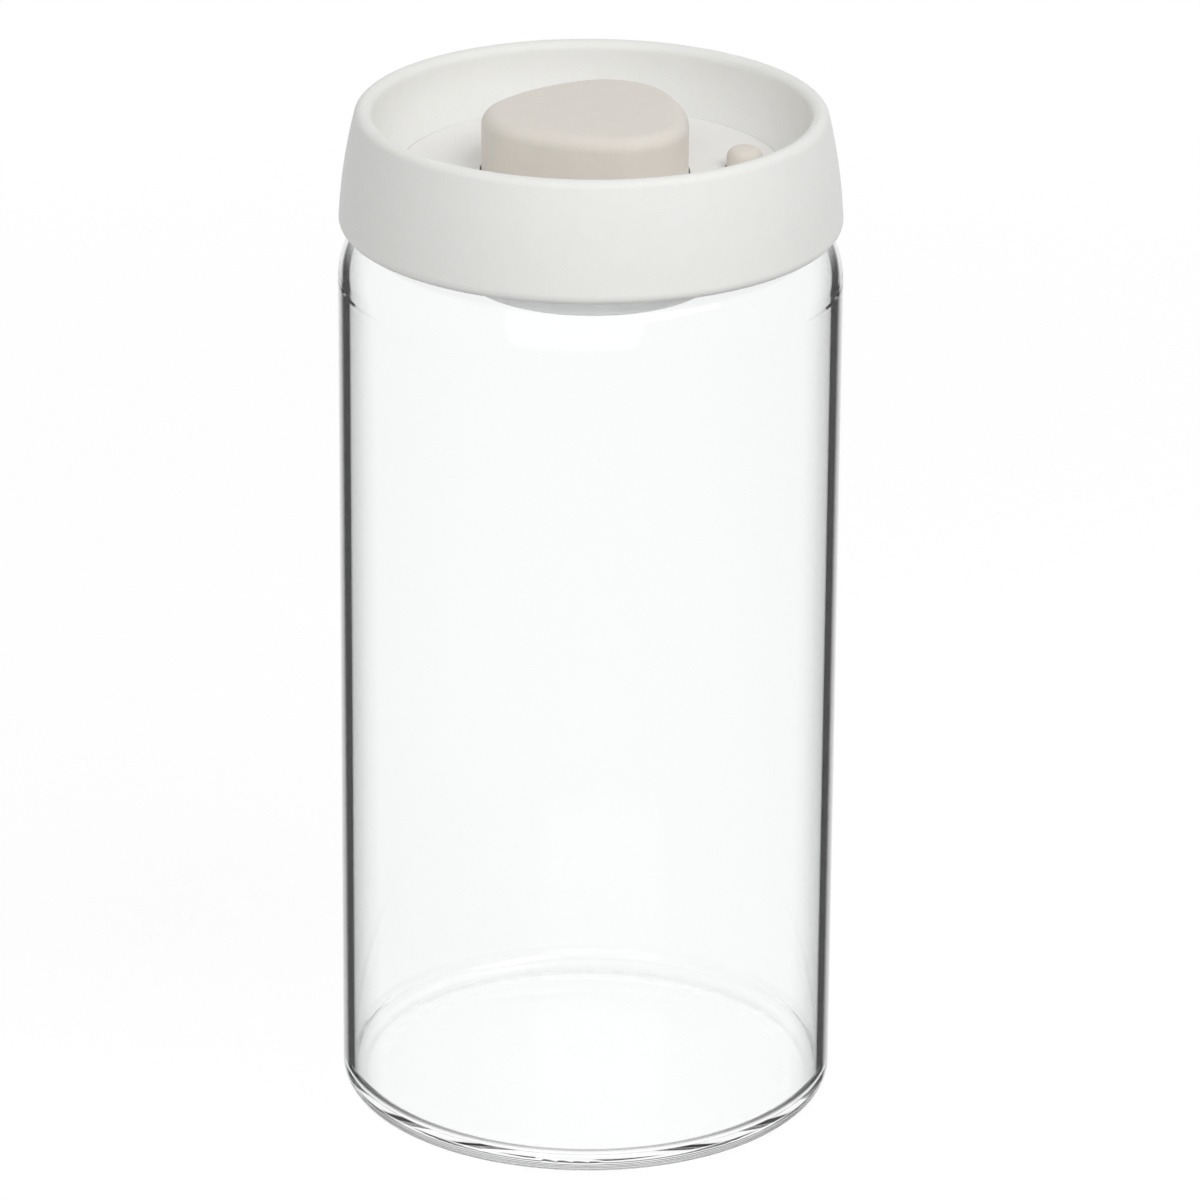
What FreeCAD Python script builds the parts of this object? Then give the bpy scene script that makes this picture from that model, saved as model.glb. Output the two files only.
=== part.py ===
import FreeCAD, Part
import math
import os
import re

import Sketcher

# A glass storage jar with a vacuum pump lid. The origin is at the middle of the jar's underside, +Z is up,
# and the release nub lies on the +X side of the lid.

# Driving sizes in millimetres. Everything else is worked out from them.
SIZES = {
    # Glass jar
    "jar_radius": 50.0,
    "glass_wall": 2.3,
    "base_thickness": 3.4,
    "base_round": 4.0,
    "inner_round": 3.5,
    "foot_width": 5.0,
    "punt_depth": 0.8,
    "rim_height": 190.8,
    "neck_length": 3.9,
    "shoulder_step": 6.0,
    "shoulder_round": 16.0,
    "neck_round": 2.0,
    "lip_round": 0.8,
    # Lid ring
    "lid_inset": 0.25,
    "skirt_drop": 7.7,
    "skirt_round": 2.0,
    "skirt_wall": 2.4,
    "wall_bow": 110.0,
    "crest_inset": 4.85,
    "rim_round": 1.8,
    "rim_wall": 1.4,
    "well_depth": 12.3,
    "bowl_run": 5.1,
    "bowl_wall": 1.4,
    "bead_depth": 0.6,
    "bead_gap": 0.1,
    # Core with its plug, and the plate on top of it
    "core_plate": 2.6,
    "flange_thickness": 2.2,
    "snap_gap": 0.15,
    "plug_gap": 1.2,
    "plug_depth": 9.7,
    "plug_lip": 2.4,
    "plug_wall": 2.2,
    "deck_thickness": 1.4,
    "deck_gap": 0.06,
    "deck_edge": 0.06,
    "collar_wall": 1.2,
    "collar_gap": 0.1,
    "socket_gap": 0.2,
    "socket_wall": 1.4,
    "socket_drop": 2.2,
    "rib_width": 1.4,
    "rib_drop": 3.0,
    "rib_count": 6,
    # Gasket round the plug
    "seat_thickness": 1.4,
    "seat_margin": 0.6,
    "gasket_depth": 1.6,
    "fin_gap": 0.3,
    "fin_height": 0.9,
    "fin_edge": 0.3,
    # Pump button
    "button_half_width": 18.8,
    "button_corner_round": 14.0,
    "button_side_round": 38.5,
    "button_rise": 12.1,
    "button_round": 2.8,
    "button_wall": 2.0,
    "button_top": 2.2,
    "button_gap": 0.35,
    "notch_width": 4.0,
    "notch_height": 1.2,
    # Piston
    "stroke": 9.0,
    "stroke_gap": 0.5,
    "piston_gap": 0.3,
    "piston_play": 0.6,
    "piston_height": 5.4,
    "piston_web": 2.0,
    "piston_land": 1.0,
    "groove_depth": 1.7,
    "groove_wall": 1.6,
    "seal_gap": 0.25,
    "seal_play": 0.05,
    "seal_foot": 0.7,
    "seal_slot": 0.35,
    "seal_back": 1.5,
    "seal_lip": 0.5,
    "seal_shelf": 1.5,
    "hub_share": 0.564,
    "hub_wall": 1.6,
    "hub_gap": 0.5,
    "exhaust_radius": 2.3,
    "exhaust_clear": 0.9,
    "exhaust_stem": 0.8,
    "exhaust_hole": 0.55,
    "exhaust_rise": 0.8,
    "exhaust_barb": 1.0,
    # Pump cylinder
    "bore_gap": 0.6,
    "barrel_wall": 2.0,
    "barrel_round": 1.0,
    "barrel_floor": 1.8,
    "cylinder_gasket_thickness": 0.8,
    "filter_radius": 9.0,
    "filter_depth": 1.55,
    "filter_cap_thickness": 0.7,
    "filter_hole": 0.7,
    "filter_inner_count": 6,
    "filter_outer_count": 12,
    "intake_clear": 1.7,
    "intake_stem": 1.2,
    "intake_hole": 0.9,
    "intake_hole_count": 6,
    "intake_rise": 1.4,
    "intake_barb": 0.7,
    "valve_edge": 0.3,
    "barb_flare": 0.6,
    "stem_play": 0.05,
    # Screws, and the bosses and lugs that take them
    "screw_count": 3,
    "screw_radius": 1.15,
    "screw_head": 2.2,
    "screw_head_height": 1.5,
    "screw_play": 0.05,
    "screw_hole_gap": 0.2,
    "screw_tip_gap": 0.4,
    "cylinder_screw_length": 7.0,
    "piston_screw_length": 8.0,
    "slot_width": 0.6,
    "slot_depth": 0.7,
    "boss_radius": 2.7,
    "boss_drop": 4.2,
    "boss_gap": 0.8,
    "lug_margin": 0.7,
    "lug_thickness": 2.0,
    "button_boss_radius": 2.5,
    # Pump spring
    "spring_wire": 1.2,
    "spring_turns": 8,
    # Release nub and its valve
    "nub_radius": 3.6,
    "nub_rise": 4.2,
    "nub_round": 2.1,
    "nub_top": 1.4,
    "nub_wall": 1.0,
    "nub_gap": 0.3,
    "release_travel": 2.0,
    "release_stop_gap": 0.6,
    "release_clear": 0.75,
    "release_turn": 8.8,
    "tube_wall": 1.2,
    "tube_drop": 5.2,
    "tube_floor": 1.6,
    "release_stem": 1.1,
    "release_hole_gap": 0.3,
    "release_seal_radius": 3.2,
    "release_seal_thickness": 1.6,
    "clip_thickness": 0.6,
    "clip_radius": 2.4,
    "clip_groove": 0.3,
    "clip_mouth": 1.4,
    "stem_tail": 0.8,
    "release_spring_radius": 1.85,
    "release_spring_wire": 0.4,
    "release_spring_turns": 7,
}

# Worked-out places and sizes, as formulas of the driving ones.
# Button: a three-sided outline of three corner arcs and three side arcs that meet tangent.
SIDE_SHIFT = "(button_side_round - button_half_width)"
CORNER_SPAN = "(button_side_round - button_corner_round)"
CORNER_SHIFT = f"((sqrt(4 * {CORNER_SPAN}^2 - 3 * {SIDE_SHIFT}^2) - {SIDE_SHIFT}) / 2)"
CORNER_REACH = f"({CORNER_SHIFT} + button_corner_round)"
OPENING = "(button_gap + collar_wall + collar_gap)"

# Radii of the pump and of the release valve beside it.
BORE = f"({CORNER_REACH} + bore_gap)"
BARREL = f"({BORE} + barrel_wall)"
TUBE_INSIDE = "(nub_radius + nub_gap)"
TUBE = f"({TUBE_INSIDE} + tube_wall)"
RELEASE_PLACE = f"({BARREL} + release_clear + {TUBE})"
RELEASE_ACROSS = f"({RELEASE_PLACE} * cos(release_turn))"
RELEASE_SIDE = f"(-{RELEASE_PLACE} * sin(release_turn))"

# Radii of the jar's neck and mouth, and of the plug that goes into it.
NECK = "(jar_radius - shoulder_step)"
MOUTH = f"({NECK} - glass_wall)"
PLUG_LIP = f"({MOUTH} - plug_gap)"
PLUG_OUTSIDE = f"({PLUG_LIP} - gasket_depth)"
PLUG_INSIDE = f"({PLUG_OUTSIDE} - plug_wall)"
PUNT = "(jar_radius - base_round - foot_width)"

# Jar's shoulder: the S-curve from the wall up to the neck.
TURN_COS = "(1 - shoulder_step / (shoulder_round + neck_round))"
TURN_SIN = f"sqrt(1 - {TURN_COS}^2)"
NECK_START = "(rim_height - neck_length)"
SHOULDER = f"({NECK_START} - (shoulder_round + neck_round) * {TURN_SIN})"
INNER_SHOULDER_ROUND = "(shoulder_round - glass_wall)"

# Radii of the lid.
LID = "(jar_radius - lid_inset)"
SKIRT_INSIDE = f"({LID} - skirt_wall)"
CREST_RADIUS = f"({LID} - crest_inset)"
WELL = f"({CREST_RADIUS} - rim_round - bowl_run)"
BOWL = "((bowl_run^2 + (well_depth - rim_round)^2) / (2 * bowl_run))"
DECK = f"({WELL} - deck_gap)"

# Heights in the lid, from the gasket's seat up to the crest, and down to the skirt and the plug's end.
SEAT = "(rim_height + seat_thickness)"
FLANGE_TOP = f"({SEAT} + flange_thickness)"
CORE_TOP = f"({SEAT} + core_plate)"
FLOOR = f"({CORE_TOP} + deck_thickness)"
CREST = f"({FLOOR} + well_depth)"
RIM_CENTRE = f"({CREST} - rim_round)"
SKIRT = f"({SEAT} - skirt_drop)"
PLUG_END = f"({SEAT} - plug_depth)"
BUTTON_TOP = f"({FLOOR} + button_rise)"
BUTTON_CEILING = f"({BUTTON_TOP} - button_top)"

# Heights in the pump: its floor clears the piston at the end of its stroke.
BARREL_TOP = f"({SEAT} - cylinder_gasket_thickness)"
PISTON_TOP = f"({SEAT} - piston_gap)"
PISTON_END = f"({PISTON_TOP} - piston_height)"
PISTON_WEB = f"({PISTON_TOP} - piston_web)"
GROOVE_LOW = f"({PISTON_END} + piston_land)"
GROOVE_HIGH = f"({PISTON_TOP} - piston_land)"
PUMP_FLOOR = f"({PISTON_END} - stroke - stroke_gap)"
FILTER_CEILING = f"({PUMP_FLOOR} - barrel_floor)"
BARREL_END = f"({FILTER_CEILING} - filter_depth)"

# Inside the button: the hub keeps its share of the button's width, with the spring and the intake valve
# inside it and the exhaust valve outside it.
PISTON = f"({BORE} - piston_play)"
GROOVE = f"({PISTON} - groove_depth)"
PISTON_INSIDE = f"({GROOVE} - groove_wall)"
HUB = "(hub_share * button_half_width)"
HUB_INSIDE = f"({HUB} - hub_wall)"
EXHAUST_PLACE = f"({HUB} + exhaust_clear + exhaust_radius)"
SPRING = f"({HUB_INSIDE} - hub_gap - spring_wire / 2)"
SPRING_CEILING = f"({BUTTON_CEILING} - hub_wall)"
INTAKE = f"({SPRING} - spring_wire / 2 - intake_clear)"

# Screws: the cylinder's bosses hang beside the barrel, the button's bosses stand midway from hub to seal.
SOCKET_INSIDE = f"({BARREL} + socket_gap)"
SOCKET = f"({SOCKET_INSIDE} + socket_wall)"
BOSS_PLACE = f"({BARREL} + boss_gap + boss_radius)"
BOSS_END = f"({SEAT} - boss_drop)"
LUG = "(boss_radius + lug_margin)"
LUG_END = f"({BOSS_END} - lug_thickness)"
BUTTON_BOSS_PLACE = f"(({HUB} + {PISTON_INSIDE}) / 2)"
PILOT = "(screw_radius + screw_play)"
SCREW_HOLE = "(screw_radius + screw_hole_gap)"

# Release valve: a tube under the plate with a floor that the seal closes from below.
TUBE_END = f"({SEAT} - tube_drop)"
TUBE_FLOOR = f"({TUBE_END} + tube_floor)"
NUB_TOP = f"({FLOOR} + nub_rise)"
NUB_END = f"({TUBE_FLOOR} + release_travel + release_stop_gap)"
NUB_CEILING = f"({NUB_TOP} - nub_top)"
RELEASE_SEAL_END = f"({TUBE_END} - release_seal_thickness)"
CLIP_END = f"({RELEASE_SEAL_END} - clip_thickness)"
STEM_END = f"({CLIP_END} - stem_tail)"

FULL_TURN = 360.0
SPRING_MIN_GAP = 0.4
WORD = re.compile(r"[a-z_]+")

document = FreeCAD.newDocument("vacuum_seal_canister")
sheet = document.addObject("Spreadsheet::Sheet", "sizes")
for row, (size_name, size_value) in enumerate(SIZES.items(), start=1):
    sheet.set(f"A{row}", size_name)
    sheet.set(f"B{row}", str(size_value))
    sheet.setAlias(f"B{row}", size_name)
document.recompute()

subparts = []


def number(formula):
    """The value of a formula of the driving sizes."""
    return float(sheet.evalExpression(formula))


def bound(formula):
    """The same formula, as the document's objects read it from the sheet."""
    return WORD.sub(lambda word: "sizes." + word[0] if word[0] in SIZES else word[0], formula)


def constrain(sketch, kind, *where, formula):
    """Add one dimension to a sketch and tie it to its formula."""
    index = sketch.addConstraint(Sketcher.Constraint(kind, *where, number(formula)))
    sketch.setExpression(f"Constraints[{index}]", bound(formula))


def pin(sketch, geometry, point, across, up):
    """Hold a sketch point at two distances from the sketch's origin; 0 puts it on the axis."""
    for kind, formula, axis in (("DistanceX", across, -2), ("DistanceY", up, -1)):
        if formula == "0":
            sketch.addConstraint(Sketcher.Constraint("PointOnObject", geometry, point, axis))
        else:
            constrain(sketch, kind, -1, 1, geometry, point, formula=formula)


def new_body(label):
    """An empty body that becomes one node."""
    body = document.addObject("PartDesign::Body", label)
    body.Label = label
    subparts.append(body)
    return body


def new_sketch(body, name, role, height=None):
    """A sketch on one of the body's own origin planes, lifted to a height if one is given."""
    sketch = body.newObject("Sketcher::SketchObject", name)
    plane = next(item for item in body.Origin.OriginFeatures if item.Role == role)
    sketch.AttachmentSupport = [(plane, "")]
    sketch.MapMode = "FlatFace"
    if height is not None:
        sketch.setExpression("AttachmentOffset.Base.z", bound(height))
    return sketch


def corner(across, up, arc=None, turn="left", free=False, centre=None):
    """A point of an outline, and the radius of the arc that leaves it (none for a straight side).

    A free point isn't held: its two sides meet tangent there. centre holds how far out an arc's centre is."""
    return {"across": across, "up": up, "arc": arc, "turn": turn, "free": free, "centre": centre}


def arc_between(start, end, radius, turn):
    """The sketch arc of under a half circle from start to end, bending left or right."""
    chord = end - start
    side = FreeCAD.Vector(-chord.y, chord.x, 0).normalize()
    rise = math.sqrt(max(radius**2 - (chord.Length / 2) ** 2, 0.0))
    centre = (start + end) / 2 + side * (rise if turn == "left" else -rise)
    first, last = (start, end) if turn == "left" else (end, start)
    angles = [math.atan2(point.y - centre.y, point.x - centre.x) for point in (first, last)]
    circle = Part.Circle(centre, FreeCAD.Vector(0, 0, 1), radius)
    return Part.ArcOfCircle(circle, *angles)


def draw(sketch, corners):
    """A closed outline of straight sides and arcs, held at its corners."""
    points = [FreeCAD.Vector(number(item["across"]), number(item["up"]), 0) for item in corners]
    sides = []
    for index, item in enumerate(corners):
        start, end = points[index], points[(index + 1) % len(points)]
        if item["arc"] is None:
            sides.append((sketch.addGeometry(Part.LineSegment(start, end)), 1, 2))
            continue
        arc = sketch.addGeometry(arc_between(start, end, number(item["arc"]), item["turn"]))
        sides.append((arc, 1, 2) if item["turn"] == "left" else (arc, 2, 1))
    for index, item in enumerate(corners):
        before, _, before_end = sides[index - 1]
        side, side_start, _ = sides[index]
        meeting = "Tangent" if item["free"] else "Coincident"
        sketch.addConstraint(Sketcher.Constraint(meeting, before, before_end, side, side_start))
        if not item["free"]:
            pin(sketch, side, side_start, item["across"], item["up"])
        if item["arc"] is not None:
            constrain(sketch, "Radius", side, formula=item["arc"])
        if item["centre"] is not None:
            constrain(sketch, "DistanceX", -1, 1, side, 3, formula=item["centre"])


def draw_circle(sketch, radius, across="0", up="0"):
    """A circle of the sketch, about its origin unless a place is given."""
    place = FreeCAD.Vector(number(across), number(up), 0)
    circle = sketch.addGeometry(Part.Circle(place, FreeCAD.Vector(0, 0, 1), number(radius)))
    pin(sketch, circle, 3, across, up)
    constrain(sketch, "Radius", circle, formula=radius)


def draw_box(sketch, near, far, half_width):
    """A rectangle across the sketch's X axis, from near to far."""
    draw(sketch, [corner(near, f"-{half_width}"), corner(far, f"-{half_width}"),
                  corner(far, half_width), corner(near, half_width)])


def draw_button(sketch, offset):
    """The button's three-sided outline, moved outward. Its corners face 60, 180 and 300 degrees."""
    corner_round, side_round = f"(button_corner_round + {offset})", f"(button_side_round + {offset})"
    shift, side_shift = number(CORNER_SHIFT), number(SIDE_SHIFT)

    def place(angle, distance):
        turn = math.radians(angle)
        return FreeCAD.Vector(distance * math.cos(turn), distance * math.sin(turn), 0)

    def add_arc(centre, radius, spans):
        angles = [math.atan2(span.y, span.x) for span in spans]
        circle = Part.Circle(centre, FreeCAD.Vector(0, 0, 1), number(radius))
        return sketch.addGeometry(Part.ArcOfCircle(circle, *angles))

    arcs = []
    for angle in (60, 180, 300):
        here, following = place(angle, shift), place(angle + 120, shift)
        side_before, side_after = place(angle - 60, -side_shift), place(angle + 60, -side_shift)
        arcs.append(add_arc(here, corner_round, (here - side_before, here - side_after)))
        arcs.append(add_arc(side_after, side_round, (here - side_after, following - side_after)))
    half, tall = f"({CORNER_SHIFT} / 2)", f"({CORNER_SHIFT} * sqrt(3) / 2)"
    centres = [(half, tall), (f"-{CORNER_SHIFT}", "0"), (half, f"-{tall}")]
    for index, arc in enumerate(arcs):
        sketch.addConstraint(Sketcher.Constraint("Tangent", arcs[index - 1], 2, arc, 1))
        constrain(sketch, "Radius", arc, formula=side_round if index % 2 else corner_round)
    for arc, (across, up) in zip(arcs[::2], centres):
        pin(sketch, arc, 3, across, up)


def turned(label, corners, axis=None):
    """A body turned about Z from an outline of radius and height, or about a line at a radius of its own."""
    body = new_body(label)
    add_turned(body, "turned", corners, axis)
    return body


def add_turned(body, name, corners, axis=None):
    """Turn an outline into solid."""
    sketch = new_sketch(body, f"{name}_outline", "XZ_Plane")
    draw(sketch, corners)
    axis_name = "V_Axis"
    if axis is not None:
        place = number(axis)
        ends = FreeCAD.Vector(place, 0, 0), FreeCAD.Vector(place, 1, 0)
        line = sketch.addGeometry(Part.LineSegment(*ends), True)
        pin(sketch, line, 1, axis, "0")
        sketch.addConstraint(Sketcher.Constraint("Vertical", line))
        axis_name = "Axis0"
    turn = body.newObject("PartDesign::Revolution", name)
    turn.Profile = sketch
    turn.ReferenceAxis = (sketch, [axis_name])
    turn.Angle = FULL_TURN
    document.recompute()
    return turn


def add_pad(body, name, height, length, shapes, down=False):
    """Raise shapes drawn at a height, up or down by a length. shapes draws them on the sketch it is given."""
    sketch = new_sketch(body, f"{name}_outline", "XY_Plane", height)
    shapes(sketch)
    pad = body.newObject("PartDesign::Pad", name)
    pad.Profile = sketch
    pad.Reversed = down
    pad.setExpression("Length", bound(length))
    document.recompute()
    return pad


def add_cut(body, name, height, depth, shapes, upward=False):
    """Cut shapes drawn at a height, down or up by a depth."""
    before = body.Shape.Volume
    sketch = new_sketch(body, f"{name}_outline", "XY_Plane", height)
    shapes(sketch)
    cut = body.newObject("PartDesign::Pocket", name)
    cut.Profile = sketch
    cut.Reversed = upward
    cut.setExpression("Length", bound(depth))
    document.recompute()
    if body.Shape.Volume >= before:
        raise ValueError(f"{body.Label}: {name} cuts nothing")
    return cut


def add_pattern(body, name, features, count):
    """Repeat features evenly about the body's Z axis."""
    pattern = body.newObject("PartDesign::PolarPattern", name)
    pattern.Originals = features
    axis = next(item for item in body.Origin.OriginFeatures if item.Role == "Z_Axis")
    pattern.Axis = (axis, [""])
    pattern.Angle = FULL_TURN
    pattern.setExpression("Occurrences", bound(count))
    body.Tip = pattern
    document.recompute()
    return pattern


def add_edge_finish(body, kind, name, edges, size_property, size):
    """A fillet or chamfer on the edges or faces that edges picks from the body's shape."""
    base = body.Tip
    finish = body.newObject(kind, name)
    finish.Base = (base, edges(base.Shape))
    finish.setExpression(size_property, bound(size))
    document.recompute()
    return finish


def face_at(height):
    """Pick the flat face at a height."""
    def pick(shape):
        level = number(height)
        return [f"Face{index}" for index, face in enumerate(shape.Faces, start=1)
                if abs(face.BoundBox.ZMin - level) < 1e-6 and abs(face.BoundBox.ZMax - level) < 1e-6]
    return pick


def rim_at(height, radius):
    """Pick the round edge of a radius at a height."""
    def pick(shape):
        level, reach = number(height), number(radius)
        return [f"Edge{index}" for index, edge in enumerate(shape.Edges, start=1)
                if abs(edge.BoundBox.ZMin - level) < 1e-6 and abs(edge.BoundBox.ZMax - level) < 1e-6
                and abs(edge.BoundBox.XMax - reach) < 1e-3]
    return pick


def move_out(body, across, side="0"):
    """Set a body out along X, and to one side along Y, by formulas."""
    body.setExpression("Placement.Base.x", bound(across))
    body.setExpression("Placement.Base.y", bound(side))


def make_glass_jar():
    """Blown jar: flat ring to stand on, shallow hollow under it, shoulder, short neck and rounded lip."""
    bend_out = f"(jar_radius - shoulder_round * (1 - {TURN_COS}))"
    bend_in = f"(jar_radius - shoulder_round + {INNER_SHOULDER_ROUND} * {TURN_COS})"
    inside = "(jar_radius - glass_wall)"
    turned("glass_jar", [
        corner("0", "punt_depth", arc=f"(({PUNT}^2 + punt_depth^2) / (2 * punt_depth))", turn="right"),
        corner(PUNT, "0"),
        corner("jar_radius - base_round", "0", arc="base_round"),
        corner("jar_radius", "base_round"),
        corner("jar_radius", SHOULDER, arc="shoulder_round"),
        corner(bend_out, f"{SHOULDER} + shoulder_round * {TURN_SIN}", arc="neck_round", turn="right"),
        corner(NECK, NECK_START),
        corner(NECK, "rim_height - lip_round", arc="lip_round"),
        corner(f"{NECK} - lip_round", "rim_height"),
        corner(f"{MOUTH} + lip_round", "rim_height", arc="lip_round"),
        corner(MOUTH, "rim_height - lip_round"),
        corner(MOUTH, NECK_START, arc="neck_round + glass_wall"),
        corner(bend_in, f"{SHOULDER} + {INNER_SHOULDER_ROUND} * {TURN_SIN}",
               arc=INNER_SHOULDER_ROUND, turn="right"),
        corner(inside, SHOULDER),
        corner(inside, "base_thickness + inner_round", arc="inner_round", turn="right"),
        corner(f"{inside} - inner_round", "base_thickness"),
        corner("0", "base_thickness"),
    ])


def make_lid_ring():
    """Hollow ring: bowed outer wall, rolled crest, dished inner wall, and a bead that snaps under the core.

    The bowed wall meets the skirt's rounding and the crest's rounding tangent."""
    bead_top = f"({SEAT} - bead_gap)"
    turned("lid_ring", [
        corner(SKIRT_INSIDE, SKIRT),
        corner(f"{LID} - skirt_round", SKIRT, arc="skirt_round", centre=f"{LID} - skirt_round"),
        corner(LID, f"{SKIRT} + skirt_round", arc="wall_bow", free=True),
        corner(f"{CREST_RADIUS} + rim_round", RIM_CENTRE, arc="rim_round", free=True, centre=CREST_RADIUS),
        corner(CREST_RADIUS, CREST, arc="rim_round"),
        corner(f"{CREST_RADIUS} - rim_round", RIM_CENTRE, arc=BOWL, turn="right"),
        corner(WELL, FLOOR),
        corner(WELL, FLANGE_TOP),
        corner(f"{WELL} + bowl_wall", FLANGE_TOP),
        corner(f"{WELL} + bowl_wall", FLOOR, arc=BOWL),
        corner(f"{CREST_RADIUS} - rim_round + bowl_wall", RIM_CENTRE),
        corner(f"{CREST_RADIUS} + rim_round - rim_wall", RIM_CENTRE),
        corner(SKIRT_INSIDE, FLANGE_TOP),
        corner(SKIRT_INSIDE, bead_top),
        corner(f"{SKIRT_INSIDE} - bead_depth", f"{bead_top} - bead_depth"),
        corner(SKIRT_INSIDE, f"{bead_top} - 2 * bead_depth"),
    ])


def make_lid_core():
    """Plate and plug in one moulding, with the socket, bosses, ribs and valve tube on its underside."""
    body = turned("lid_core", [
        corner("0", SEAT),
        corner(PLUG_INSIDE, SEAT),
        corner(PLUG_INSIDE, PLUG_END),
        corner(PLUG_LIP, PLUG_END),
        corner(PLUG_LIP, f"{PLUG_END} + plug_lip"),
        corner(PLUG_OUTSIDE, f"{PLUG_END} + plug_lip"),
        corner(PLUG_OUTSIDE, SEAT),
        corner(f"{SKIRT_INSIDE} - snap_gap", SEAT),
        corner(f"{SKIRT_INSIDE} - snap_gap", FLANGE_TOP),
        corner(DECK, FLANGE_TOP),
        corner(DECK, CORE_TOP),
        corner("0", CORE_TOP),
    ])

    def socket(sketch):
        draw_circle(sketch, SOCKET)
        draw_circle(sketch, SOCKET_INSIDE)

    def rib(sketch):
        near, far = f"{SOCKET_INSIDE} + socket_wall / 2", f"{PLUG_INSIDE} + plug_wall / 2"
        draw(sketch, [
            corner("-rib_width / 2", near),
            corner("rib_width / 2", near),
            corner("rib_width / 2", far),
            corner("-rib_width / 2", far),
        ])

    def at_boss(radius):
        return lambda sketch: draw_circle(sketch, radius, f"-{BOSS_PLACE}")

    def at_valve(radius):
        return lambda sketch: draw_circle(sketch, radius, RELEASE_ACROSS, RELEASE_SIDE)

    add_cut(body, "button_opening", CORE_TOP, "core_plate", lambda sketch: draw_button(sketch, OPENING))
    add_pad(body, "socket", SEAT, "socket_drop", socket, down=True)
    boss = add_pad(body, "boss", SEAT, "boss_drop", at_boss("boss_radius"), down=True)
    pilot = add_cut(body, "pilot", BOSS_END, "cylinder_screw_length - lug_thickness + screw_tip_gap",
                    at_boss(PILOT), upward=True)
    add_pattern(body, "bosses", [boss, pilot], "screw_count")
    add_pad(body, "valve_tube", SEAT, "tube_drop", at_valve(TUBE), down=True)
    add_cut(body, "valve_bore", CORE_TOP, f"{CORE_TOP} - {TUBE_FLOOR}", at_valve(TUBE_INSIDE))
    add_cut(body, "stem_hole", TUBE_FLOOR, "tube_floor", at_valve("release_stem + release_hole_gap"))
    first_rib = add_pad(body, "rib", SEAT, "rib_drop", rib, down=True)
    add_pattern(body, "ribs", [first_rib], "rib_count")


def make_well_plate():
    """Floor of the well, with a collar that guides the button through the core."""
    body = new_body("well_plate")

    def plate(sketch):
        draw_circle(sketch, DECK)
        draw_button(sketch, "button_gap")
        draw_circle(sketch, TUBE_INSIDE, RELEASE_ACROSS, RELEASE_SIDE)

    def collar(sketch):
        draw_button(sketch, "(button_gap + collar_wall)")
        draw_button(sketch, "button_gap")

    add_pad(body, "plate", CORE_TOP, "deck_thickness", plate)
    add_pad(body, "collar", CORE_TOP, "core_plate", collar, down=True)
    add_edge_finish(body, "PartDesign::Chamfer", "edge", rim_at(FLOOR, DECK), "Size", "deck_edge")


def make_main_gasket():
    """Silicone sleeve on the plug: two fins in the jar's mouth and a flange on its lip."""
    corners = [
        corner(PLUG_OUTSIDE, f"{PLUG_END} + plug_lip"),
        corner(PLUG_LIP, f"{PLUG_END} + plug_lip"),
    ]
    for third in (1, 2):
        middle = f"({NECK_START} + neck_length * {third} / 3)"
        tip = f"({MOUTH} - fin_gap)"
        corners += [
            corner(PLUG_LIP, f"{middle} - fin_height / 2"),
            corner(tip, f"{middle} - fin_edge / 2"),
            corner(tip, f"{middle} + fin_edge / 2"),
            corner(PLUG_LIP, f"{middle} + fin_height / 2"),
        ]
    corners += [
        corner(PLUG_LIP, "rim_height"),
        corner(f"{NECK} - seat_margin", "rim_height"),
        corner(f"{NECK} - seat_margin", SEAT),
        corner(PLUG_OUTSIDE, SEAT),
    ]
    turned("main_gasket", corners)


def make_pump_cylinder():
    """Cup that hangs from the core on three lugs. Its floor has the intake holes and the filter's recess."""
    body = turned("pump_cylinder", [
        corner("0", PUMP_FLOOR),
        corner(BORE, PUMP_FLOOR),
        corner(BORE, BARREL_TOP),
        corner(BARREL, BARREL_TOP),
        corner(BARREL, f"{BARREL_END} + barrel_round", arc="barrel_round", turn="right"),
        corner(f"{BARREL} - barrel_round", BARREL_END),
        corner("filter_radius", BARREL_END),
        corner("filter_radius", FILTER_CEILING),
        corner("0", FILTER_CEILING),
    ])

    def lug(sketch):
        root, middle = f"-({BORE} + barrel_wall / 2)", f"-{BOSS_PLACE}"
        draw(sketch, [
            corner(root, LUG),
            corner(middle, LUG, arc=LUG),
            corner(f"-({BOSS_PLACE} + {LUG})", "0", arc=LUG),
            corner(middle, f"-{LUG}"),
            corner(root, f"-{LUG}"),
        ])

    first_lug = add_pad(body, "lug", LUG_END, "lug_thickness", lug)
    hole = add_cut(body, "screw_hole", BOSS_END, "lug_thickness",
                   lambda sketch: draw_circle(sketch, SCREW_HOLE, f"-{BOSS_PLACE}"))
    add_pattern(body, "lugs", [first_lug, hole], "screw_count")
    add_cut(body, "stem_hole", PUMP_FLOOR, "barrel_floor",
            lambda sketch: draw_circle(sketch, "intake_stem + stem_play"))
    intake = add_cut(body, "intake_hole", PUMP_FLOOR, "barrel_floor",
                     lambda sketch: draw_circle(sketch, "intake_hole", f"(intake_stem + {INTAKE}) / 2"))
    add_pattern(body, "intake_holes", [intake], "intake_hole_count")


def make_cylinder_gasket():
    """Flat silicone ring between the barrel's rim and the core."""
    def ring(sketch):
        draw_circle(sketch, BARREL)
        draw_circle(sketch, BORE)

    add_pad(new_body("cylinder_gasket"), "ring", BARREL_TOP, "cylinder_gasket_thickness", ring)


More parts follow.
